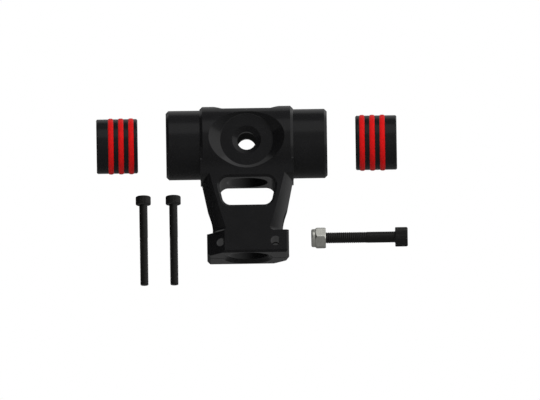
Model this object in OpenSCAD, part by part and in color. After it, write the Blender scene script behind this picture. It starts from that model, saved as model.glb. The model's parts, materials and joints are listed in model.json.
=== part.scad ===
// Centre hub of a model helicopter's main rotor, with its damper sleeves and fasteners laid out around it.
// Millimetres. +Z is up along the mast, X runs along the cross tube, the front is -Y.
// The origin is the point where the mast bolt crosses the mast axis.

/* [Cross tube] */
// Height of the tube's axis above the mast bolt
spindle_h = 29; // [27:0.1:34]
// Outer diameter of the cross tube
tube_d = 25.2; // [24.6:0.1:26.4]
// Length of the cross tube
tube_len = 58.6; // [54:0.1:70]
// Chamfer on the tube's ends
tube_chamfer = 1; // [0.3:0.1:1.2]
// Depth of each damper pocket
pocket_depth = 15.1; // [12:0.1:17]
// Diameter of the passage for the blade spindle
passage_d = 11.4; // [10.5:0.1:11.8]

/* [Centre barrel] */
// Diameter of the thicker barrel in the middle
barrel_d = 27.8; // [27:0.1:29]
// Width of the barrel along the tube
barrel_w = 34; // [33:0.1:38]
// Chamfer on the barrel's edges
barrel_chamfer = 1; // [0.3:0.1:1.2]
// Diameter of the flat floor of the front and rear recess
recess_d = 19.2; // [16:0.1:20]
// Distance of that floor from the mast axis
recess_floor = 8.1; // [7.8:0.1:9.2]
// Height of the upright wall round that floor
recess_wall = 0.4; // [0.2:0.05:0.8]
// Angle of the recesses' flanks, measured from their axis
recess_angle = 38; // [34:1:42]
// Hole through the barrel, front to rear
cross_hole_d = 6.7; // [4:0.1:8]
// Outer diameter of that hole's countersink
countersink_d = 10.5; // [9:0.1:11]
// Full angle of the countersink
countersink_angle = 90; // [80:1:100]
// Diameter of the flat floor of the recess on top
top_recess_d = 22.6; // [20:0.1:24]
// Depth of the recess on top
top_recess_depth = 1.9; // [1:0.1:2.2]

/* [Web] */
// Thickness of the web and the clamp block, front to rear
web_t = 20; // [19:0.1:22]
// Diameter of the web's cone where it meets the clamp block
web_low_d = 25.2; // [24:0.1:27]
// Diameter of the web's cone at the bottom of the barrel
web_high_d = 33.4; // [32:0.1:36]
// Fillet between the web's faces and the barrel
web_fillet = 8; // [3:0.1:9]
// Distance of the saddle's underside below the barrel
saddle_drop = 0.85; // [0.4:0.05:1.2]
// Radius of the saddle's hollow underside, front to rear
saddle_r = 26; // [25:0.5:32]
// How far the saddle's ends stand back from the barrel's ends
saddle_inset = 0.1; // [0.05:0.05:0.3]
// Fillet round the foot of the cone
foot_fillet = 1.1; // [0.3:0.1:1.2]
// Lower edge of the window above the mast bolt
window_low = 4.45; // [3.6:0.05:6]
// Height of the window
window_h = 10.35; // [8:0.05:10.6]
// Width of the window at its upper edge
window_high_w = 20.2; // [16:0.1:21]
// Width of the window at its lower edge
window_low_w = 18.4; // [14:0.1:19]
// Radius of the window's corners
window_r = 3.2; // [2:0.1:3.8]
// Chamfer round the window, front and rear
window_chamfer = 0.85; // [0.3:0.05:1]

/* [Mast clamp] */
// Diameter of the mast
mast_d = 15; // [12:0.1:15.6]
// Height of the top of the mast pocket above the mast bolt
mast_pocket_h = 19.2; // [18:0.1:19.3]
// Chamfer at the mouth of the mast bore
mouth_chamfer = 1.4; // [0.3:0.1:1.5]
// Distance of the clamp block's underside below the mast bolt
clamp_drop = 13.4; // [12.6:0.1:16]
// Height of the clamp block
clamp_h = 8.2; // [7:0.1:8.6]
// Width of the clamp block
clamp_w = 29.8; // [29:0.1:34]
// Size of the clamp block's two slanted corners
corner_cut = 6.4; // [4:0.2:6.8]
// Chamfer along the clamp block's lower edges, front and rear
clamp_chamfer = 0.85; // [0.3:0.05:1]
// Chamfer along the lower edges at the clamp block's ends
clamp_end_chamfer = 1.15; // [0.3:0.05:1.3]
// Bevel on the clamp block's other upright edges
clamp_bevel = 0.8; // [0.2:0.1:0.9]
// Width of the clamp's slit
slit_w = 0.5; // [0.3:0.1:1]
// Height of the slit above the clamp block
slit_rise = 1.4; // [0.2:0.1:2]

/* [Damper sleeves] */
// Outer diameter of a damper sleeve
sleeve_d = 19.8; // [19:0.1:20]
// Length of a damper sleeve
sleeve_len = 15; // [14.4:0.1:16]
// Diameter of the blade spindle
spindle_d = 10; // [8:0.1:11]
// Chamfer on the sleeve's edges
sleeve_chamfer = 0.4; // [0.2:0.1:0.8]
// Section of an O-ring
ring_section = 2; // [1.8:0.05:2.2]
// How far an O-ring stands out of the sleeve
ring_proud = 0.3; // [0.1:0.05:0.4]
// Distance from the sleeve's inner end to the first ring
ring_first = 2.4; // [2.3:0.1:2.8]
// Distance from ring to ring
ring_pitch = 3.68; // [3.5:0.02:4]
// Width of an O-ring groove
groove_w = 2.5; // [2.3:0.1:2.7]
// Gap from the tube's end to the laid-out sleeve
sleeve_gap = 10.3; // [6:0.1:20]

/* [Pinch screws] */
// Thread diameter of a pinch screw
pinch_d = 3; // [2.5:0.5:3]
// Length of a pinch screw under its head
pinch_len = 30; // [20:1:35]
// Diameter of a pinch screw's head
pinch_head_d = 5.5; // [5:0.1:6]
// Height of a pinch screw's head
pinch_head_h = 3; // [2.5:0.1:3.2]
// Width across flats of a pinch screw's socket
pinch_socket = 2.5; // [2:0.5:3]
// Depth of a pinch screw's socket
pinch_socket_depth = 1.5; // [1:0.1:1.8]
// Chamfer on a pinch screw's head and tip
pinch_edge = 0.3; // [0.1:0.05:0.4]
// Clearance hole of a pinch screw
pinch_hole_d = 3.5; // [3.2:0.1:3.8]
// Tapped hole of a pinch screw
pinch_tap_d = 2.8; // [2:0.1:2.9]
// Distance of a pinch screw's hole from the mast axis
pinch_offset = 10; // [9.8:0.1:10.6]
// Distance of the outer laid-out screw from the mast axis
pinch_far_x = 37.9; // [34:0.1:50]
// Distance of the inner laid-out screw from the mast axis
pinch_near_x = 27; // [24:0.1:30]
// Height of the laid-out screw heads' top above the mast bolt's hole
pinch_top = 10.1; // [4:0.1:14]

/* [Mast bolt] */
// Thread diameter of the mast bolt
bolt_d = 4; // [3:0.5:4]
// Length of the mast bolt under its head
bolt_len = 30; // [28:0.5:35]
// Diameter of the mast bolt's head
bolt_head_d = 7.1; // [6.6:0.1:7.6]
// Height of the mast bolt's head
bolt_head_h = 4.6; // [3.8:0.1:5]
// Width across flats of the mast bolt's socket
bolt_socket = 3; // [2.5:0.5:3.5]
// Depth of the mast bolt's socket
bolt_socket_depth = 2; // [1.5:0.1:2.4]
// Chamfer on the mast bolt's head and tip
bolt_edge = 0.4; // [0.1:0.05:0.5]
// Clearance of the mast bolt in its hole
bolt_clearance = 0.1; // [0.05:0.05:0.3]
// Distance between the two spot faces that the bolt clamps
bolt_grip = 24.8; // [24:0.1:25.4]
// Diameter of a spot face
spot_d = 8.2; // [7.8:0.1:9]
// Distance from the mast axis to the laid-out bolt's head
bolt_x = 53.5; // [53.5:0.1:60]
// How far the laid-out bolt lies below the mast bolt's hole
bolt_drop = 6.3; // [2:0.1:9]

/* [Lock nut] */
// Width across flats of the lock nut
nut_flats = 7; // [6.6:0.1:7.4]
// Height of the nut's hexagon
nut_hex_h = 3.9; // [3:0.1:4.2]
// Height of the nut with its collar
nut_h = 5.3; // [5:0.1:5.8]
// Diameter of the nut's collar
nut_collar_d = 6.6; // [6.2:0.1:6.9]
// Wall of the nut's collar
nut_collar_wall = 0.5; // [0.3:0.05:0.6]
// Lip that holds the nylon ring in the collar
nut_lip = 0.3; // [0.2:0.05:0.4]
// Angle of the chamfers on the nut's corners
nut_chamfer_angle = 30; // [20:1:40]
// Height of the nylon ring
insert_h = 1.5; // [1.2:0.1:1.8]
// Distance of the bolt's tip from the nut's outer end
nut_tip = 0.5; // [0.3:0.1:1]
// Turn of the nut on the bolt
nut_turn = 20; // [0:1:59]

/* [Fits] */
// Radial gap between an O-ring and its pocket
ring_clearance = 0.05; // [0.02:0.01:0.1]
// Radial gap between an O-ring and its groove floor
ring_seat = 0.05; // [0.02:0.01:0.1]
// Radial gap between the mast bolt and the nut's thread
thread_clearance = 0.06; // [0.03:0.01:0.1]
// Radial gap between the mast bolt and the nylon ring
insert_clearance = 0.03; // [0.01:0.01:0.06]

/* [Hidden] */
$fn = 96;

black_metal = "#1c1c1e";
ring_red = "#d7191e";
zinc = "#b2b2aa";
nylon = "#e8e4d8";

// Overlap that lets a cut run clear of the face it starts from
cut = 1;
// Radii used in several places
barrel_r = barrel_d / 2;
mast_r = mast_d / 2;
ring_r = sleeve_d / 2 + ring_proud;
pocket_r = ring_r + ring_clearance;
groove_r = ring_r - ring_section - ring_seat;
ring_mid_r = ring_r - ring_section / 2;
bolt_hole_r = bolt_d / 2 + bolt_clearance;
insert_r = nut_collar_d / 2 - nut_collar_wall;
// Heights above the mast bolt
clamp_low = -clamp_drop;
clamp_high = clamp_low + clamp_h;
pinch_z = (clamp_low + clamp_high) / 2;
web_high = spindle_h - barrel_r;
window_high = window_low + window_h;
// Web's cone
web_slope = (web_high_d - web_low_d) / 2 / (web_high - clamp_high);
web_max_w = barrel_w - 2 * saddle_inset;
saddle_low = web_high - saddle_drop;
// Laid-out places along X
sleeve_x = tube_len / 2 + sleeve_gap;
nut_x = bolt_x - bolt_len - nut_tip;

// Solid of revolution along Z with chamfered ends, centred on the origin
module chamfered_rod(d, len, c) {
  rotate_extrude()
    polygon([
      [0, -len / 2],
      [d / 2 - c, -len / 2],
      [d / 2, -len / 2 + c],
      [d / 2, len / 2 - c],
      [d / 2 - c, len / 2],
      [0, len / 2],
    ]);
}

// Turns a solid along Z to lie along X
module along_x() {
  rotate([0, 90, 0])
    children();
}

// Turns a solid along Z to point to the front, along -Y
module to_front() {
  rotate([90, 0, 0])
    children();
}

// A copy as it is and one turned half round the mast axis
module front_and_rear() {
  for (turn = [0, 180])
    rotate(turn)
      children();
}

// Section of the web across X: a slab that flares into the barrel with a fillet.
// The fillet bites a trace into the barrel, so that its edge there is a clean crossing.
module web_section() {
  fillet_bite = 0.03;
  fillet_y = web_t / 2 + web_fillet;
  fillet_z = spindle_h - sqrt(pow(barrel_r + web_fillet - fillet_bite, 2) - pow(fillet_y, 2));
  translate([-web_t / 2, clamp_high])
    square([web_t, spindle_h - clamp_high]);
  for (side = [-1, 1])
    scale([side, 1])
      difference() {
        polygon([[0, fillet_z], [fillet_y, fillet_z], [0, spindle_h]]);
        translate([fillet_y, fillet_z])
          circle(r = web_fillet);
      }
}

// Half section of the web's cone, with the fillet round its foot
module web_cone_section() {
  low_r = web_low_d / 2;
  high_r = low_r + web_slope * (spindle_h - clamp_high);
  slant = sqrt(1 + web_slope * web_slope);
  foot = [low_r + foot_fillet * (web_slope + slant), clamp_high + foot_fillet];
  touch = foot + foot_fillet / slant * [-1, web_slope];
  polygon([[0, clamp_high], [low_r, clamp_high], [high_r, spindle_h], [0, spindle_h]]);
  difference() {
    polygon([[low_r, clamp_high], [foot.x, clamp_high], foot, touch]);
    translate(foot)
      circle(r = foot_fillet);
  }
}

// Draws a section across X along the whole width of the web
module along_web() {
  translate([-web_max_w / 2, 0, 0])
    rotate([90, 0, 90])
      linear_extrude(web_max_w)
        children();
}

// Cone between two flats, with a saddle as wide as the barrel on top
module web() {
  intersection() {
    rotate_extrude()
      web_cone_section();
    along_web()
      web_section();
  }
  along_web()
    intersection() {
      web_section();
      translate([0, saddle_low + saddle_r])
        circle(r = saddle_r);
    }
}

// Outline of the clamp block from above: two opposite corners slanted, the other edges bevelled
module clamp_outline() {
  x = clamp_w / 2;
  y = web_t / 2;
  b = clamp_bevel;
  half = [
    [-x + corner_cut, -y],
    [x - b, -y],
    [x, -y + b],
    [x, y - corner_cut],
  ];
  polygon(concat(half, [for (p = half) -p]));
}

// Outline of width w and height h whose two lower corners are chamfered, with its foot at clamp_low
module chamfered_foot(w, h, c) {
  translate([0, clamp_low])
    polygon([
      [-w / 2, h],
      [-w / 2, c],
      [-w / 2 + c, 0],
      [w / 2 - c, 0],
      [w / 2, c],
      [w / 2, h],
    ]);
}

module clamp_block() {
  intersection() {
    translate([0, 0, clamp_low])
      linear_extrude(clamp_h)
        clamp_outline();
    translate([-clamp_w / 2, 0, 0])
      rotate([90, 0, 90])
        linear_extrude(clamp_w)
          chamfered_foot(web_t, clamp_h, clamp_chamfer);
    translate([0, web_t / 2, 0])
      to_front()
        linear_extrude(web_t)
          chamfered_foot(clamp_w, clamp_h, clamp_end_chamfer);
  }
}

// Points on an arc round a centre
function arc(centre, r, from, to, steps = 12) = [
  for (i = [0 : steps])
    let (a = from + (to - from) * i / steps)
      centre + r * [cos(a), sin(a)]
];

// Rounded outline of the window, anticlockwise, grown by the given amount
function window_points(grow) =
  let (
    r = window_r + grow,
    high = [window_high_w / 2 - window_r, window_high - window_r],
    low = [window_low_w / 2 - window_r, window_low + window_r],
    lean = atan2(high.x - low.x, high.y - low.y)
  )
  concat(
    arc(high, r, -lean, 90),
    arc([-high.x, high.y], r, 90, 180 + lean),
    arc([-low.x, low.y], r, 180 + lean, 270),
    arc(low, r, 270, 360 - lean)
  );

// Solid between two outlines with the same number of points at two heights
module loft(low, high, z_low, z_high) {
  n = len(low);
  polyhedron(
    points = concat(
      [for (p = low) [p.x, p.y, z_low]],
      [for (p = high) [p.x, p.y, z_high]]
    ),
    faces = concat(
      [[for (i = [0 : n - 1]) i]],
      [[for (i = [0 : n - 1]) 2 * n - 1 - i]],
      [for (i = [0 : n - 1]) [i, i + n, (i + 1) % n + n, (i + 1) % n]]
    )
  );
}

// Window through the web with its chamfers, which run on past the web's faces
module window_cut() {
  past = 0.3;
  face = web_t / 2;
  to_front()
    linear_extrude(web_t + 2 * cut, center = true)
      polygon(window_points(0));
  front_and_rear()
    to_front()
      loft(
        window_points(-past),
        window_points(window_chamfer + past),
        face - window_chamfer - past,
        face + past
      );
}

// Damper pockets at both ends and the spindle passage between them
module spindle_cut() {
  translate([0, 0, spindle_h])
    along_x() {
      cylinder(d = passage_d, h = tube_len, center = true);
      for (side = [-1, 1])
        translate([0, 0, side * (tube_len / 2 + cut - (pocket_depth + cut) / 2)])
          cylinder(r = pocket_r, h = pocket_depth + cut, center = true);
    }
}

// Turned recess with a flat floor, an upright wall of the given height and a flank that opens outwards
module turned_recess(floor_d, floor_at, wall = 0) {
  r = floor_d / 2;
  depth = barrel_r - floor_at + cut;
  rotate_extrude()
    polygon([
      [0, floor_at],
      [r, floor_at],
      if (wall > 0) [r, floor_at + wall],
      [r + (depth - wall) * tan(recess_angle), floor_at + depth],
      [0, floor_at + depth],
    ]);
}

module barrel_cuts() {
  sink_depth = (countersink_d - cross_hole_d) / 2 / tan(countersink_angle / 2);
  translate([0, 0, spindle_h]) {
    turned_recess(top_recess_d, barrel_r - top_recess_depth);
    front_and_rear()
      to_front() {
        turned_recess(recess_d, recess_floor, recess_wall);
        translate([0, 0, recess_floor - sink_depth])
          cylinder(d1 = cross_hole_d, d2 = countersink_d, h = sink_depth);
      }
    to_front()
      cylinder(d = cross_hole_d, h = 2 * recess_floor, center = true);
  }
}

// Mast bore up to the pocket above the window, its mouth, and the clamp's slit
module mast_cut() {
  translate([0, 0, clamp_low - cut])
    cylinder(r = mast_r, h = mast_pocket_h - clamp_low + cut);
  translate([0, 0, clamp_low - cut])
    cylinder(r1 = mast_r + mouth_chamfer + cut, r2 = mast_r, h = mouth_chamfer + cut);
  translate([-clamp_w / 2 - cut, -slit_w / 2, clamp_low - cut])
    cube([clamp_w + 2 * cut, slit_w, clamp_h + slit_rise + cut]);
}

// Pinch screw holes: a clearance hole in one half of the clamp and a tapped hole in the other
module pinch_cut() {
  front_and_rear()
    translate([pinch_offset, 0, pinch_z]) {
      to_front()
        cylinder(d = pinch_hole_d, h = web_t / 2 + cut);
      rotate([-90, 0, 0])
        cylinder(d = pinch_tap_d, h = web_t / 2 + cut);
    }
}

// Mast bolt hole with a spot face at either end
module mast_bolt_cut() {
  along_x() {
    cylinder(r = bolt_hole_r, h = clamp_w, center = true);
    for (side = [-1, 1])
      translate([0, 0, side * (bolt_grip + clamp_w) / 4])
        cylinder(d = spot_d, h = (clamp_w - bolt_grip) / 2, center = true);
  }
}

module centre_hub() {
  color(black_metal)
    difference() {
      union() {
        translate([0, 0, spindle_h])
          along_x() {
            chamfered_rod(tube_d, tube_len, tube_chamfer);
            chamfered_rod(barrel_d, barrel_w, barrel_chamfer);
          }
        web();
        clamp_block();
      }
      spindle_cut();
      barrel_cuts();
      window_cut();
      mast_cut();
      pinch_cut();
      mast_bolt_cut();
    }
}

// Grooved sleeve along Z, inner end at the origin
module damper_sleeve() {
  r = sleeve_d / 2;
  bore = spindle_d / 2;
  c = sleeve_chamfer;
  rotate_extrude()
    difference() {
      polygon([
        [bore, c],
        [bore + c, 0],
        [r - c, 0],
        [r, c],
        [r, sleeve_len - c],
        [r - c, sleeve_len],
        [bore + c, sleeve_len],
        [bore, sleeve_len - c],
      ]);
      for (i = [0 : 2])
        translate([groove_r, ring_first + i * ring_pitch - groove_w / 2])
          square([r - groove_r + cut, groove_w]);
    }
}

// Ring number i of a sleeve along Z
module o_ring(i) {
  translate([0, 0, ring_first + i * ring_pitch])
    rotate_extrude()
      translate([ring_mid_r, 0])
        circle(d = ring_section, $fn = 48);
}

// Sets a sleeve or its ring beside the left (-1) or right (1) end of the tube
module laid_out(side) {
  translate([side * sleeve_x, 0, spindle_h])
    rotate([0, side * 90, 0])
      children();
}

// Socket head screw along Z, under side of the head at the origin, head up
module socket_screw(d, len, head_d, head_h, socket, socket_depth, edge) {
  difference() {
    rotate_extrude()
      polygon([
        [0, -len],
        [d / 2 - edge, -len],
        [d / 2, -len + edge],
        [d / 2, 0],
        [head_d / 2, 0],
        [head_d / 2, head_h - edge],
        [head_d / 2 - edge, head_h],
        [0, head_h],
      ]);
    translate([0, 0, head_h - socket_depth])
      cylinder(d = socket / cos(30), h = socket_depth + cut, $fn = 6);
  }
}

module pinch_screw(x) {
  color(black_metal)
    translate([-x, 0, pinch_top - pinch_head_h])
      socket_screw(
        pinch_d, pinch_len, pinch_head_d, pinch_head_h,
        pinch_socket, pinch_socket_depth, pinch_edge
      );
}

module mast_bolt() {
  color(black_metal)
    translate([bolt_x, 0, -bolt_drop])
      along_x()
        socket_screw(
          bolt_d, bolt_len, bolt_head_d, bolt_head_h,
          bolt_socket, bolt_socket_depth, bolt_edge
        );
}

// Sets a nut along Z, collar down, on the tip of the mast bolt
module on_bolt_tip() {
  translate([nut_x, 0, -bolt_drop])
    along_x()
      rotate(nut_turn)
        children();
}

module lock_nut() {
  flat_r = nut_flats / 2;
  corner_r = flat_r / cos(30);
  collar_r = nut_collar_d / 2;
  collar_h = nut_h - nut_hex_h;
  slope = tan(nut_chamfer_angle);
  color(zinc)
    on_bolt_tip()
      difference() {
        union() {
          intersection() {
            translate([0, 0, collar_h])
              cylinder(r = corner_r, h = nut_hex_h, $fn = 6);
            rotate_extrude()
              polygon([
                [0, collar_h],
                [collar_r, collar_h],
                [corner_r, collar_h + slope * (corner_r - collar_r)],
                [corner_r, nut_h - slope * (corner_r - flat_r)],
                [flat_r, nut_h],
                [0, nut_h],
              ]);
          }
          rotate_extrude()
            polygon([
              [0, 0],
              [collar_r - nut_lip, 0],
              [collar_r, nut_lip],
              [collar_r, collar_h],
              [collar_r - nut_lip, collar_h + nut_lip],
              [0, collar_h + nut_lip],
            ]);
        }
        translate([0, 0, -cut])
          cylinder(r = bolt_d / 2 + thread_clearance, h = nut_h + 2 * cut);
        translate([0, 0, nut_lip])
          cylinder(r = insert_r, h = insert_h);
        translate([0, 0, -cut])
          cylinder(r = insert_r - nut_lip, h = nut_lip + 2 * cut);
      }
}

module lock_nut_insert() {
  color(nylon)
    on_bolt_tip()
      translate([0, 0, nut_lip])
        difference() {
          cylinder(r = insert_r, h = insert_h);
          translate([0, 0, -cut])
            cylinder(r = bolt_d / 2 + insert_clearance, h = insert_h + 2 * cut);
        }
}

module sleeve(side) {
  color(black_metal)
    laid_out(side)
      damper_sleeve();
}

module ring(side, i) {
  color(ring_red)
    laid_out(side)
      o_ring(i);
}

centre_hub();
sleeve(-1);  // left_damper_sleeve
sleeve(1);  // right_damper_sleeve
ring(-1, 0);  // left_o_ring_inner
ring(-1, 1);  // left_o_ring_middle
ring(-1, 2);  // left_o_ring_outer
ring(1, 0);  // right_o_ring_inner
ring(1, 1);  // right_o_ring_middle
ring(1, 2);  // right_o_ring_outer
pinch_screw(pinch_far_x);  // left_pinch_screw
pinch_screw(pinch_near_x);  // right_pinch_screw
mast_bolt();
lock_nut();
lock_nut_insert();
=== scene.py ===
import bpy
import bmesh
import json
import math
from mathutils import Matrix, Vector


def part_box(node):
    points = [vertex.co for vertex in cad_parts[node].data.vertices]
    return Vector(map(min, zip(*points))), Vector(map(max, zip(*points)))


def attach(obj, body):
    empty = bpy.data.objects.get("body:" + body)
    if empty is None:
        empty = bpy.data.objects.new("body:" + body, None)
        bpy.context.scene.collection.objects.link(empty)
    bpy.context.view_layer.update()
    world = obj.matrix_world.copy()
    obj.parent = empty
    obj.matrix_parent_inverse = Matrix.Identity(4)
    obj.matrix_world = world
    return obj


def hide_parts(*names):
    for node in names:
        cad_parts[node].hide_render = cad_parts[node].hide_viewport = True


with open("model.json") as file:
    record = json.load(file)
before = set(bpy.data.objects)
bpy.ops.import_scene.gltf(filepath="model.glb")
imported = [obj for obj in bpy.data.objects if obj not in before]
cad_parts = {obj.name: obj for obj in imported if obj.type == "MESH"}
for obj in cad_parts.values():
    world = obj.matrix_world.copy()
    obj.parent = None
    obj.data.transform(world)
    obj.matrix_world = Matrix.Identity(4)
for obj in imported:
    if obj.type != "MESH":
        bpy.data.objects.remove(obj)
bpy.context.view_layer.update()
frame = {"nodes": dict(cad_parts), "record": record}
mm = 0.001
scene = bpy.context.scene
print("frame:", len(frame["nodes"]), "CAD nodes")

# camera: parallel view from a little below the tube, turned slightly in its own plane
camera = {
    "pixelsPerMm": 2.75,
    "pictureWidth": 540,  # pixels
    "fromBelow": 13.2,  # degrees
    "roll": 0.863,  # degrees
    "tubeAxis": Vector((0, 0, 29 * mm)),
    "centreRight": 8.205 * mm,  # picture centre, from the middle of the tube
    "centreUp": -20.27 * mm,
    "distance": 0.3,
    "clip": (0.001, 20),
}


def placeCamera():
    tilt, roll = math.radians(camera["fromBelow"]), math.radians(camera["roll"])
    ahead = Vector((0, math.cos(tilt), math.sin(tilt)))
    side = Vector((1, 0, 0))
    up = side.cross(ahead)
    right = side * math.cos(roll) - up * math.sin(roll)
    top = side * math.sin(roll) + up * math.cos(roll)
    place = camera["tubeAxis"] + side * camera["centreRight"] + up * camera["centreUp"]
    place = place - ahead * camera["distance"]
    data = bpy.data.cameras.new("partsCamera")
    data.type = "ORTHO"
    data.ortho_scale = camera["pictureWidth"] / camera["pixelsPerMm"] * mm
    data.clip_start, data.clip_end = camera["clip"]
    shot = bpy.data.objects.new("partsCamera", data)
    scene.collection.objects.link(shot)
    turn = Matrix((right, top, -ahead)).transposed().to_4x4()
    shot.matrix_world = Matrix.Translation(place) @ turn
    scene.camera = shot


placeCamera()
scene.view_settings.view_transform = "Standard"
print("camera placed")


def linear(hexColour):  # sRGB hex to linear RGBA
    parts = [int(hexColour[i:i + 2], 16) / 255 for i in (1, 3, 5)]
    return [c / 12.92 if c <= 0.04045 else ((c + 0.055) / 1.055) ** 2.4 for c in parts] + [1]


def addNode(tree, kind, values=None, links=None, **settings):
    node = tree.nodes.new(kind)
    for key, value in settings.items():
        setattr(node, key, value)
    for socket, value in (values or {}).items():
        node.inputs[socket].default_value = value
    for socket, source in (links or {}).items():
        tree.links.new(source, node.inputs[socket])
    return node


def newMaterial(name, **values):
    material = bpy.data.materials.new(name)
    material.use_nodes = True
    tree = material.node_tree
    surface = tree.nodes["Principled BSDF"]
    for socket, value in values.items():
        surface.inputs[socket.replace("_", " ")].default_value = value
    return material, tree, surface


def cloudyTone(tree, surface, place, s):  # base colour that drifts between two tones
    cloud = addNode(
        tree, "ShaderNodeTexNoise",
        {"Scale": 1 / s["cloud"], "Detail": s["cloudDetail"]}, {"Vector": place},
    )
    tone = addNode(tree, "ShaderNodeValToRGB", links={"Fac": cloud.outputs["Fac"]})
    for stop, at, colour in zip(tone.color_ramp.elements, s["toneStops"], s["tones"]):
        stop.position, stop.color = at, linear(colour)
    tree.links.new(tone.outputs["Color"], surface.inputs["Base Color"])
    return cloud.outputs["Fac"]


def unevenSkin(tree, surface, pattern, s):  # roughness and any relief follow one pattern
    low, high = s["roughness"]
    gloss = addNode(tree, "ShaderNodeMapRange", {"To Min": low, "To Max": high}, {"Value": pattern})
    tree.links.new(gloss.outputs["Result"], surface.inputs["Roughness"])
    if "relief" in s:
        relief = addNode(
            tree, "ShaderNodeBump",
            {"Strength": s["relief"], "Distance": s["reliefDepth"]}, {"Height": pattern},
        )
        tree.links.new(relief.outputs["Normal"], surface.inputs["Normal"])


# black anodised aluminium, turned and milled, dyed and sealed: a deep black skin of
# clear oxide with a satin shine, and faint rings where the lathe tool ran along the tube
anodised = {
    "tones": ("#0f0f10", "#111112"),
    "toneStops": (0.35, 0.65),
    "cloud": 6 * mm,  # size of the dye's faint clouds
    "cloudDetail": 4,
    "toolRing": 0.6 * mm,  # real feed about 0.1 mm, drawn coarser so that it shows
    "ringWobble": 0.6,
    "ringDetail": 1,
    "ringsFrom": 13 * mm,  # the turned part starts above this height
    "ringsFade": 4 * mm,
    "grain": 0.3 * mm,  # real etch grain about 0.02 mm, drawn coarser so that it shows
    "grainDetail": 2,
    "roughness": (0.19, 0.24),
    "relief": 0.02,
    "reliefDepth": 0.02 * mm,
    "ior": 1.62,
    "specular": 0.15,
}
waveSpan = 2 * math.pi / 20  # length of one wave in a wave texture of scale 1


def anodisedAluminium():
    s = anodised
    material, tree, surface = newMaterial(
        "blackAnodisedAluminium", IOR=s["ior"], Specular_IOR_Level=s["specular"],
    )
    place = addNode(tree, "ShaderNodeTexCoord").outputs["Object"]
    cloudyTone(tree, surface, place, s)
    rings = addNode(
        tree, "ShaderNodeTexWave",
        {"Scale": waveSpan / s["toolRing"], "Distortion": s["ringWobble"], "Detail": s["ringDetail"]},
        {"Vector": place}, wave_type="BANDS", bands_direction="X",
    )
    height = addNode(tree, "ShaderNodeSeparateXYZ", links={"Vector": place})
    turned = addNode(
        tree, "ShaderNodeMapRange",
        {"From Min": s["ringsFrom"], "From Max": s["ringsFrom"] + s["ringsFade"]},
        {"Value": height.outputs["Z"]},
    )
    grain = addNode(
        tree, "ShaderNodeTexNoise",
        {"Scale": 1 / s["grain"], "Detail": s["grainDetail"]}, {"Vector": place},
    )
    worked = addNode(
        tree, "ShaderNodeMix",
        links={"Factor": turned.outputs["Result"], "A": grain.outputs["Fac"], "B": rings.outputs["Fac"]},
    )
    unevenSkin(tree, surface, worked.outputs["Result"], s)
    return material


# red silicone rubber, compression moulded: an even, slightly cloudy red with a soft broad shine
silicone = {
    "tones": ("#aa0a0b", "#b60d0e"),
    "toneStops": (0.3, 0.7),
    "cloud": 1.5 * mm,
    "cloudDetail": 3,
    "skin": 0.35 * mm,  # moulded skin, drawn coarser than the real 0.05 mm so that it shows
    "skinDetail": 2,
    "roughness": (0.34, 0.46),
    "relief": 0.08,
    "reliefDepth": 0.02 * mm,
    "ior": 1.41,
    "specular": 0.12,
}


def redSilicone():
    s = silicone
    material, tree, surface = newMaterial(
        "redMouldedSilicone", IOR=s["ior"], Specular_IOR_Level=s["specular"],
    )
    place = addNode(tree, "ShaderNodeTexCoord").outputs["Object"]
    cloudyTone(tree, surface, place, s)
    skin = addNode(
        tree, "ShaderNodeTexNoise",
        {"Scale": 1 / s["skin"], "Detail": s["skinDetail"]}, {"Vector": place},
    )
    unevenSkin(tree, surface, skin.outputs["Fac"], s)
    return material


# alloy steel with a black oxide finish, forged and rolled: oily black,
# a touch warmer and duller than the hub
oxide = {
    "tones": ("#0b0b0a", "#100f0e"),
    "toneStops": (0.35, 0.7),
    "cloud": 1.2 * mm,
    "cloudDetail": 4,
    "grain": 0.2 * mm,  # real crystals are far finer, drawn coarser so that they show
    "grainDetail": 2,
    "roughness": (0.34, 0.48),
    "relief": 0.06,
    "reliefDepth": 0.02 * mm,
    "ior": 1.75,
    "specular": 0.15,
}


def blackOxideSteel():
    s = oxide
    material, tree, surface = newMaterial(
        "blackOxideSteel", IOR=s["ior"], Specular_IOR_Level=s["specular"],
    )
    place = addNode(tree, "ShaderNodeTexCoord").outputs["Object"]
    cloudyTone(tree, surface, place, s)
    grain = addNode(
        tree, "ShaderNodeTexNoise",
        {"Scale": 1 / s["grain"], "Detail": s["grainDetail"]}, {"Vector": place},
    )
    unevenSkin(tree, surface, grain.outputs["Fac"], s)
    return material


# steel with bright zinc plating: pale warm grey metal, cloudy shine with fine streaks from the turned bar
zinc = {
    "tones": ("#d3d3ca", "#e9e9e2"),
    "toneStops": (0.3, 0.7),
    "cloud": 1.0 * mm,
    "cloudDetail": 3,
    "streak": 0.15 * mm,  # width
    "streakDetail": 2,
    "streakDraw": (0.15, 1, 1),  # streaks run along the bar
    "roughness": (0.26, 0.42),
    "relief": 0.05,
    "reliefDepth": 0.01 * mm,
}


def zincPlatedSteel():
    s = zinc
    material, tree, surface = newMaterial("zincPlatedSteel", Metallic=1.0)
    place = addNode(tree, "ShaderNodeTexCoord").outputs["Object"]
    cloudyTone(tree, surface, place, s)
    drawn = addNode(tree, "ShaderNodeMapping", {"Scale": s["streakDraw"]}, {"Vector": place})
    streak = addNode(
        tree, "ShaderNodeTexNoise",
        {"Scale": 1 / s["streak"], "Detail": s["streakDetail"]}, {"Vector": drawn.outputs["Vector"]},
    )
    unevenSkin(tree, surface, streak.outputs["Fac"], s)
    return material


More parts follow.
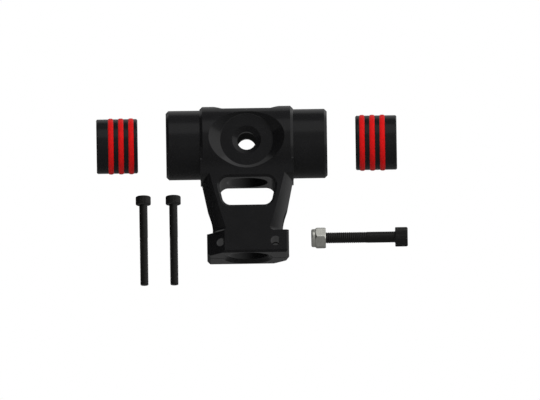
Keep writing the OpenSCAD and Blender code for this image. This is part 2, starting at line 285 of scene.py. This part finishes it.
# nylon, punched ring: waxy off-white that lets a little light in
polyamide = {
    "tones": ("#dcd6c4", "#ece8db"),
    "toneStops": (0.3, 0.7),
    "cloud": 0.8 * mm,
    "cloudDetail": 3,
    "roughness": (0.42, 0.55),
    "ior": 1.53,
    "lightIn": 0.15,  # share of the light that goes in
    "lightReach": 0.4 * mm,
}


def nylonRing():
    s = polyamide
    material, tree, surface = newMaterial(
        "naturalNylon", IOR=s["ior"], Subsurface_Weight=s["lightIn"], Subsurface_Scale=s["lightReach"],
    )
    place = addNode(tree, "ShaderNodeTexCoord").outputs["Object"]
    cloud = cloudyTone(tree, surface, place, s)
    unevenSkin(tree, surface, cloud, s)
    return material


finishes = {
    "black_anodised_aluminium": anodisedAluminium(),
    "red_silicone": redSilicone(),
    "black_oxide_steel": blackOxideSteel(),
    "zinc_plated_steel": zincPlatedSteel(),
    "nylon": nylonRing(),
}
for part in frame["record"]["subparts"]:  # every CAD node takes its slot's finish
    solid = frame["nodes"][part["node"]]
    solid.material_slots[0].material = finishes[part["material_slot"]]
    solid.visible_glossy = False  # the parts mirror the studio, not each other
print("finishes:", len(finishes))

# small limits that every mesh uses
meshing = {
    "mergeWithin": 0.0005 * mm,
    "levelWithin": 0.001 * mm,
    "angleSlack": 1e-6,  # keeps a corner's angle from rounding to just below zero
    "sharpFrom": 32,  # degrees between two faces
}


def vertsOf(edges):  # each point once
    return list(dict.fromkeys(v for e in edges for v in e.verts))


def edgesOf(verts):  # edges with both ends among these points
    chosen = set(verts)
    return list(dict.fromkeys(e for v in verts for e in v.link_edges if set(e.verts) <= chosen))


def loopAt(bm, z):  # open edges that lie at one height
    return [
        e for e in bm.edges
        if e.is_boundary and all(abs(v.co.z - z) < meshing["levelWithin"] for v in e.verts)
    ]


def carryLoop(bm, edges, z, radius=None, scale=1):  # draws a loop on to a new height and size
    made = bmesh.ops.extrude_edge_only(bm, edges=edges)["geom"]
    verts = [g for g in made if isinstance(g, bmesh.types.BMVert)]
    for v in verts:
        v.co.xy = v.co.xy * (radius / v.co.xy.length if radius else scale)
        v.co.z = z
    return edgesOf(verts)


def newLoop(bm, points, radius, z):
    level = Matrix.Translation((0, 0, z))
    return edgesOf(bmesh.ops.create_circle(bm, segments=points, radius=radius, matrix=level)["verts"])


def newHexagon(bm, points, flats, z):  # a circle's points moved out to a hexagon with a corner on +Y
    edges = newLoop(bm, points, flats / 2, z)
    sixth = math.pi / 3
    for v in vertsOf(edges):
        fromCorner = (math.atan2(v.co.y, v.co.x) - math.pi / 2 + meshing["angleSlack"]) % sixth
        v.co.xy = v.co.xy / math.cos(fromCorner - sixth / 2)
    return edges


def joinLevel(bm, edges, loop, z):  # level loops would join twisted, so the new loop starts off the plane
    bmesh.ops.bridge_loops(bm, edges=edges + loop)
    for v in vertsOf(loop):
        v.co.z = z


def spinOutline(outline, steps):  # turns a closed outline of radius and height about Z
    bm = bmesh.new()
    line = [bm.verts.new((radius, 0, z)) for radius, z in outline]
    edges = [bm.edges.new(pair) for pair in zip(line, line[1:] + line[:1])]
    bmesh.ops.spin(
        bm, geom=line + edges, cent=(0, 0, 0), axis=(0, 0, 1),
        angle=2 * math.pi, steps=steps, use_merge=True,
    )
    return bm


def finishPiece(bm, name, place, node, body, slot):
    bmesh.ops.transform(bm, matrix=place, verts=bm.verts)
    bmesh.ops.remove_doubles(bm, verts=bm.verts, dist=meshing["mergeWithin"])
    bmesh.ops.recalc_face_normals(bm, faces=bm.faces)
    mesh = bpy.data.meshes.new(name)
    bm.to_mesh(mesh)
    bm.free()
    mesh.shade_smooth()
    mesh.set_sharp_from_angle(angle=math.radians(meshing["sharpFrom"]))
    mesh.materials.append(finishes[slot])
    piece = bpy.data.objects.new(name, mesh)
    scene.collection.objects.link(piece)
    piece.visible_glossy = False
    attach(piece, body)
    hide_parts(node)
    print("piece:", name, len(mesh.polygons), "faces")


# socket head screws with a rolled thread, a knurled head and a hexagon socket
m3Screw = {
    "diameter": 3 * mm, "length": 30 * mm, "fillet": 0.15 * mm, "steps": 32,
    "pitch": 0.5 * mm, "threadDepth": 0.1 * mm, "threadLength": 18 * mm,
    "headDiameter": 5.5 * mm, "headHeight": 3 * mm, "edge": 0.3 * mm,
    "ridges": 32, "ridgeDepth": 0.1 * mm,
    "socket": 2.5 * mm, "socketDepth": 1.5 * mm, "drillPoint": 0.4 * mm,
}
m4Screw = {
    "diameter": 4 * mm, "length": 30 * mm, "fillet": 0.2 * mm, "steps": 40,
    "pitch": 0.7 * mm, "threadDepth": 0.14 * mm, "threadLength": 20 * mm,
    "headDiameter": 7.1 * mm, "headHeight": 4.6 * mm, "edge": 0.4 * mm,
    "ridges": 40, "ridgeDepth": 0.12 * mm,
    "socket": 3 * mm, "socketDepth": 2 * mm, "drillPoint": 0.5 * mm,
}
socketPoints = 24  # round the hexagon
screwShares = {  # the same for both screws, as shares of the sizes above
    "ridge": ((0, 0), (0.25, 0), (0.5625, 1), (0.6875, 1)),  # along the pitch, and up the thread's depth
    "tip": 0.94,  # of the thread's root
    "knurlEnd": 0.6,  # of the ridges' depth
    "crownDown": 0.35,  # of the head's edge
    "crownIn": 0.4,  # of the head's edge
    "mouth": 1.07,  # of the socket
    "mouthDepth": 0.04,  # of the socket
    "floor": 0.86,  # of the socket
}


def rollThread(bm, s):
    crest = s["diameter"] / 2
    root = crest - s["threadDepth"]
    pitch, steps = s["pitch"], s["steps"]
    low = -s["length"]
    high = low + s["threadLength"]
    spare = 2  # turns below the tip that are cut off again
    turns = math.ceil((high - low) / pitch) + spare + 1
    line = [
        bm.verts.new((root + up * s["threadDepth"], 0, low + (turn - spare + along) * pitch))
        for turn in range(turns) for along, up in screwShares["ridge"]
    ]
    edges = [bm.edges.new(pair) for pair in zip(line, line[1:])]
    bmesh.ops.spin(  # one turn that climbs one pitch, so each ridge meets the next
        bm, geom=line + edges, cent=(0, 0, 0), axis=(0, 0, 1), dvec=(0, 0, pitch / steps),
        angle=2 * math.pi, steps=steps, use_merge=False,
    )
    bmesh.ops.remove_doubles(bm, verts=bm.verts, dist=meshing["mergeWithin"])
    for z, outwards in ((low, -1), (high, 1)):
        bmesh.ops.bisect_plane(
            bm, geom=bm.verts[:] + bm.edges[:] + bm.faces[:],
            plane_co=(0, 0, z), plane_no=(0, 0, outwards), clear_outer=True,
        )
    for v in bm.verts:
        reach = v.co.xy.length
        runOut = crest - (high - v.co.z) * s["threadDepth"] / pitch  # the groove ends in the last turn
        point = screwShares["tip"] * root + v.co.z - low  # pointed end
        v.co.xy = v.co.xy * (min(max(reach, runOut), point) / reach)
    bmesh.ops.contextual_create(bm, geom=loopAt(bm, low))
    return loopAt(bm, high)


def knurl(edges, s):  # pulls every second point in
    for v in vertsOf(edges):
        if round(math.atan2(v.co.y, v.co.x) / math.pi * s["ridges"]) % 2:
            v.co.xy = v.co.xy * (1 - s["ridgeDepth"] / (s["headDiameter"] / 2))


def makeHead(bm, s, under):
    share = screwShares
    head, top, edge = s["headDiameter"] / 2, s["headHeight"], s["edge"]
    rim = newLoop(bm, 2 * s["ridges"], head - edge / 2, edge)
    joinLevel(bm, under, rim, 0)
    for z in (edge / 2, top - edge):
        rim = carryLoop(bm, rim, z, head)
        knurl(rim, s)
    rim = carryLoop(bm, rim, top - edge, head - share["knurlEnd"] * s["ridgeDepth"])
    rim = carryLoop(bm, rim, top - share["crownDown"] * edge, head - share["crownIn"] * edge)
    rim = carryLoop(bm, rim, top, head - edge)
    deep = top - s["socketDepth"]
    mouth = newHexagon(bm, socketPoints, share["mouth"] * s["socket"], deep)
    joinLevel(bm, rim, mouth, top)
    mouth = carryLoop(bm, mouth, top - share["mouthDepth"] * s["socket"], scale=1 / share["mouth"])
    floor = carryLoop(bm, mouth, deep)
    floor = carryLoop(bm, floor, deep, scale=share["floor"])
    cap = bmesh.ops.contextual_create(bm, geom=floor)["faces"]
    centre = bmesh.ops.poke(bm, faces=cap)["verts"]
    bmesh.ops.translate(bm, verts=centre, vec=(0, 0, -s["drillPoint"]))


def makeScrew(name, node, s, along):
    lo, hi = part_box(node)
    seat = (lo + hi) / 2
    crest, top = s["diameter"] / 2, s["headHeight"]
    bm = bmesh.new()
    shank = rollThread(bm, s)
    shank = carryLoop(bm, shank, -s["fillet"], crest)
    under = carryLoop(bm, shank, 0, crest + s["fillet"])
    makeHead(bm, s, under)
    if along == "X":
        seat.x = hi.x - top
        place = Matrix.Translation(seat) @ Matrix.Rotation(math.pi / 2, 4, "Y")
    else:
        seat.z = hi.z - top
        place = Matrix.Translation(seat)
    finishPiece(bm, name, place, node, node, "black_oxide_steel")


makeScrew("leftPinchScrew", "left_pinch_screw", m3Screw, "Z")
makeScrew("rightPinchScrew", "right_pinch_screw", m3Screw, "Z")
makeScrew("mastBolt", "mast_bolt", m4Screw, "X")

# damper sleeves: dovetail grooves that close round the rings, with broken edges
damperSleeve = {
    "radius": 9.9 * mm, "length": 15 * mm, "bore": 5 * mm, "chamfer": 0.4 * mm, "edge": 0.06 * mm,
    "grooves": (2.4 * mm, 6.08 * mm, 9.76 * mm), "mouth": 1.98 * mm, "grooveWidth": 2.44 * mm,
    "ringMiddle": 9.2 * mm, "grooveFloor": 8.15 * mm, "steps": 128,
}


def makeSleeve(name, node, body, side):
    s = damperSleeve
    lo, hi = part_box(node)
    r, bore, c, end = s["radius"], s["bore"], s["chamfer"], s["length"]
    lip, half = s["mouth"] / 2, s["grooveWidth"] / 2
    wall = [  # one side of a groove, from its middle
        (r, lip + s["edge"]), (r - s["edge"], lip), (s["ringMiddle"], half), (s["grooveFloor"], half),
    ]
    outline = [(bore, c), (bore + c, 0), (r - c, 0), (r, c)]
    for middle in s["grooves"]:
        outline += [(x, middle - z) for x, z in wall] + [(x, middle + z) for x, z in reversed(wall)]
    outline += [(r, end - c), (r - c, end), (bore + c, end), (bore, end - c)]
    innerEnd = (lo + hi) / 2
    innerEnd.x = lo.x if side > 0 else hi.x
    place = Matrix.Translation(innerEnd) @ Matrix.Rotation(side * math.pi / 2, 4, "Y")
    bm = spinOutline(outline, s["steps"])
    finishPiece(bm, name, place, node, body, "black_anodised_aluminium")


makeSleeve("leftDamperSleeve", "left_damper_sleeve", "left_damper", -1)
makeSleeve("rightDamperSleeve", "right_damper_sleeve", "right_damper", 1)

# rubber rings: squeezed between the lips of their grooves, so a little wider and squarer than round
dampingRing = {"width": 2.24 * mm, "squareness": 2.6, "sectionSteps": 32, "steps": 128}


def makeRing(name, node, body):
    s = dampingRing
    lo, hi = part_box(node)
    outer, high = (hi.z - lo.z) / 2, hi.x - lo.x
    outline = []
    for step in range(s["sectionSteps"]):
        angle = 2 * math.pi * step / s["sectionSteps"]
        out, across = [
            math.copysign(abs(part) ** (2 / s["squareness"]), part)
            for part in (math.cos(angle), math.sin(angle))
        ]
        outline.append((outer - high / 2 + out * high / 2, across * s["width"] / 2))
    place = Matrix.Translation((lo + hi) / 2) @ Matrix.Rotation(math.pi / 2, 4, "Y")
    finishPiece(spinOutline(outline, s["steps"]), name, place, node, body, "red_silicone")


for side in ("left", "right"):
    for spot in ("inner", "middle", "outer"):
        makeRing(side + spot.capitalize() + "Ring", side + "_o_ring_" + spot, side + "_damper")

# lock nut: hexagon with chamfered corners and a rolled collar that holds the nylon ring
lockNut = {
    "flats": 7 * mm, "height": 5.3 * mm, "hexHeight": 3.9 * mm, "points": 48,
    "cornerFrom": 1.12,  # of half the flats: what lies further out is a corner
    "edge": 0.12 * mm, "edgeSegments": 2, "chamfer": 45,  # degrees
    "bore": 2.06 * mm, "boreChamfer": 0.35 * mm,
    "pocket": 2.8 * mm, "insertHeight": 1.5 * mm,
    "lip": 0.3 * mm, "lipEdge": 0.12 * mm, "lipDraft": 0.02 * mm,
    "collar": 3.3 * mm, "rollHeight": 0.55 * mm, "rollWidth": 0.7 * mm, "rollSteps": 6,
    "turn": -56.5,  # degrees about the bolt, from a corner straight behind
}


def makeLockNut():
    s = lockNut
    lo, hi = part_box("lock_nut")
    flat, top, low = s["flats"] / 2, s["height"], s["height"] - s["hexHeight"]
    bm = bmesh.new()
    ends = [newHexagon(bm, s["points"], s["flats"], z) for z in (top, low)]
    bmesh.ops.bridge_loops(bm, edges=ends[0] + ends[1])
    far = s["cornerFrom"] * flat
    corners = [e for e in bm.edges if not e.is_boundary and e.verts[0].co.xy.length > far]
    bmesh.ops.bevel(
        bm, geom=corners, offset=s["edge"], offset_type="OFFSET", affect="EDGES",
        segments=s["edgeSegments"], profile=0.5, material=-1,
    )
    upper, lower = loopAt(bm, top), loopAt(bm, low)
    slope = math.tan(math.radians(s["chamfer"]))
    for v in vertsOf(upper):
        v.co.z = top - slope * (v.co.xy.length - flat)
    for v in vertsOf(lower):
        v.co.z = low + slope * (v.co.xy.length - s["collar"])
    ledge, opening = s["lip"] + s["insertHeight"], s["pocket"] - s["lip"]
    rim = carryLoop(bm, upper, top, flat)
    rim = carryLoop(bm, rim, top, s["bore"] + s["boreChamfer"])
    rim = carryLoop(bm, rim, top - s["boreChamfer"], s["bore"])
    rim = carryLoop(bm, rim, ledge, s["bore"])
    rim = carryLoop(bm, rim, ledge, s["pocket"])
    rim = carryLoop(bm, rim, s["lip"], s["pocket"])
    rim = carryLoop(bm, rim, s["lip"], opening)
    rim = carryLoop(bm, rim, s["lipEdge"], opening + s["lipDraft"])
    for step in range(s["rollSteps"] + 1):  # the collar's rolled shoulder
        bend = math.pi / 2 * (1 - step / s["rollSteps"])
        z = s["rollHeight"] * (1 - math.sin(bend))
        rim = carryLoop(bm, rim, z, s["collar"] - s["rollWidth"] * (1 - math.cos(bend)))
    foot = carryLoop(bm, lower, low, s["collar"])
    bmesh.ops.bridge_loops(bm, edges=rim + foot)
    seat = (lo + hi) / 2
    seat.x = lo.x
    turn = Matrix.Rotation(math.radians(s["turn"]), 4, "Z")
    place = Matrix.Translation(seat) @ Matrix.Rotation(math.pi / 2, 4, "Y") @ turn
    finishPiece(bm, "lockNut", place, "lock_nut", "lock_nut", "zinc_plated_steel")


makeLockNut()

# studio: a grey room that the black parts mirror, with white behind everything
studio = {
    "fill": 0.65,  # even light from all round
    "roomLeft": 0.02,  # what shiny faces see of the room on the left, and of the white sweep on the right
    "roomRight": 1.0,
    "roomTurn": 16.3,  # degrees that the dark end is turned to the back
    "roomMiddle": 0.36,
    "roomSpread": 0.667,
}
lamps = {
    "topSoftbox": {"place": (0.2, -0.36, 0.525), "size": (1.0, 0.46), "power": 0.8, "mirrored": True},
    "backSoftbox": {"place": (0.0, 0.42, 0.55), "size": (1.0, 0.5), "power": 0.5, "mirrored": True},
    "keyLamp": {"place": (0.35, -0.75, 0.45), "size": (0.5, 0.5), "power": 6.0, "mirrored": False},
}


def lightRoom():
    world = bpy.data.worlds.new("greyRoom")
    world.use_nodes = True
    scene.world = world
    tree = world.node_tree
    tree.nodes.clear()
    ray = addNode(tree, "ShaderNodeLightPath")
    seen = addNode(
        tree, "ShaderNodeMath",
        links={0: ray.outputs["Is Glossy Ray"], 1: ray.outputs["Is Transmission Ray"]},
        operation="MAXIMUM",
    )
    across = addNode(  # from dark at the back on the left to white at the front on the right
        tree, "ShaderNodeMapping",
        {
            "Location": (studio["roomMiddle"], 0, 0),
            "Rotation": (0, 0, math.radians(studio["roomTurn"])),
            "Scale": [studio["roomSpread"]] * 3,
        },
        {"Vector": addNode(tree, "ShaderNodeTexCoord").outputs["Generated"]},
    )
    fade = addNode(
        tree, "ShaderNodeTexGradient", links={"Vector": across.outputs["Vector"]},
        gradient_type="QUADRATIC",
    )
    room = addNode(
        tree, "ShaderNodeMapRange", {"To Min": studio["roomLeft"], "To Max": studio["roomRight"]},
        {"Value": fade.outputs["Fac"]},
    )
    level = addNode(
        tree, "ShaderNodeMix", {"A": studio["fill"]},
        {"Factor": seen.outputs["Value"], "B": room.outputs["Result"]},
    )
    shown = addNode(
        tree, "ShaderNodeMix", {"B": 1.0},
        {"Factor": ray.outputs["Is Camera Ray"], "A": level.outputs["Result"]},
    )
    light = addNode(
        tree, "ShaderNodeBackground", {"Color": (1, 1, 1, 1)}, {"Strength": shown.outputs["Result"]},
    )
    addNode(tree, "ShaderNodeOutputWorld", links={"Surface": light.outputs["Background"]})


def hangLamps():
    aim = camera["tubeAxis"]
    for name, s in lamps.items():
        data = bpy.data.lights.new(name, "AREA")
        data.shape = "RECTANGLE"
        data.size, data.size_y = s["size"]
        data.energy = s["power"]
        lamp = bpy.data.objects.new(name, data)
        scene.collection.objects.link(lamp)
        lamp.location = s["place"]
        lamp.rotation_euler = (aim - lamp.location).to_track_quat("-Z", "Y").to_euler()
        lamp.visible_camera = False
        lamp.visible_glossy = s["mirrored"]


# floor: pale matt paint that shows white; for glossy rays it glows instead with a painted reflection, a
# grey gradient that the parts mirror
paleFloor = {
    "height": -45 * mm,
    "size": 3.0,
    "colour": "#d8d8d6",
    "glow": 0.4,  # lifts the floor to white in the picture
    "turn": 45,  # degrees: the painted reflection gradient runs across the parts
    "from": -0.12,  # dark behind the parts on the left
    "to": 0.3,  # pale in front of them on the right
    "mirrored": ((0, 0.15), (0.29, 0.2), (0.7, 0.3), (1, 0.34)),  # share of the way, and glow level of the painted reflection
}


def floorPaint():
    s = paleFloor
    material, tree, surface = newMaterial("paleFloorPaint")
    tree.nodes.remove(surface)
    ray = addNode(tree, "ShaderNodeLightPath")
    paint = addNode(tree, "ShaderNodeBsdfDiffuse", {"Color": linear(s["colour"])})
    turned = addNode(
        tree, "ShaderNodeMapping", {"Rotation": (0, 0, math.radians(s["turn"]))},
        {"Vector": addNode(tree, "ShaderNodeTexCoord").outputs["Object"]},
    )
    across = addNode(tree, "ShaderNodeSeparateXYZ", links={"Vector": turned.outputs["Vector"]})
    reach = addNode(
        tree, "ShaderNodeMapRange", {"From Min": s["from"], "From Max": s["to"]},
        {"Value": across.outputs["X"]},
    )
    # painted reflection: the grey levels that the floor glows with for glossy rays
    paintedReflectionRamp = addNode(tree, "ShaderNodeValToRGB", links={"Fac": reach.outputs["Result"]})
    stops = paintedReflectionRamp.color_ramp.elements
    for at, _ in s["mirrored"][1:-1]:  # a new ramp has its two ends
        stops.new(at)
    for stop, (at, level) in zip(stops, s["mirrored"]):
        stop.position, stop.color = at, (level, level, level, 1)
    # for glossy rays the floor is this glow, not lit paint: a painted reflection, darker behind the parts
    # on the left and paler in front on the right
    paintedReflectionGlow = addNode(tree, "ShaderNodeEmission", {"Strength": 1.0}, {"Color": paintedReflectionRamp.outputs["Color"]})
    glow = addNode(tree, "ShaderNodeEmission", {"Color": (1, 1, 1, 1), "Strength": s["glow"]})
    white = addNode(
        tree, "ShaderNodeAddShader", links={0: paint.outputs["BSDF"], 1: glow.outputs["Emission"]},
    )
    plain = addNode(
        tree, "ShaderNodeMixShader",
        links={0: ray.outputs["Is Glossy Ray"], 1: paint.outputs["BSDF"], 2: paintedReflectionGlow.outputs["Emission"]},
    )
    top = addNode(
        tree, "ShaderNodeMixShader",
        links={0: ray.outputs["Is Camera Ray"], 1: plain.outputs["Shader"], 2: white.outputs["Shader"]},
    )
    clear = addNode(tree, "ShaderNodeBsdfTransparent")
    side = addNode(tree, "ShaderNodeNewGeometry")
    whole = addNode(  # seen from below, the floor is out of the way
        tree, "ShaderNodeMixShader",
        links={0: side.outputs["Backfacing"], 1: top.outputs["Shader"], 2: clear.outputs["BSDF"]},
    )
    tree.links.new(whole.outputs["Shader"], tree.nodes["Material Output"].inputs["Surface"])
    return material


def layFloor():
    bm = bmesh.new()
    bmesh.ops.create_grid(bm, x_segments=1, y_segments=1, size=paleFloor["size"] / 2)
    bmesh.ops.translate(bm, verts=bm.verts, vec=(0, 0, paleFloor["height"]))
    mesh = bpy.data.meshes.new("paleFloor")
    bm.to_mesh(mesh)
    bm.free()
    mesh.materials.append(floorPaint())
    floor = bpy.data.objects.new("paleFloor", mesh)
    scene.collection.objects.link(floor)


lightRoom()
hangLamps()
layFloor()
print("studio lit")
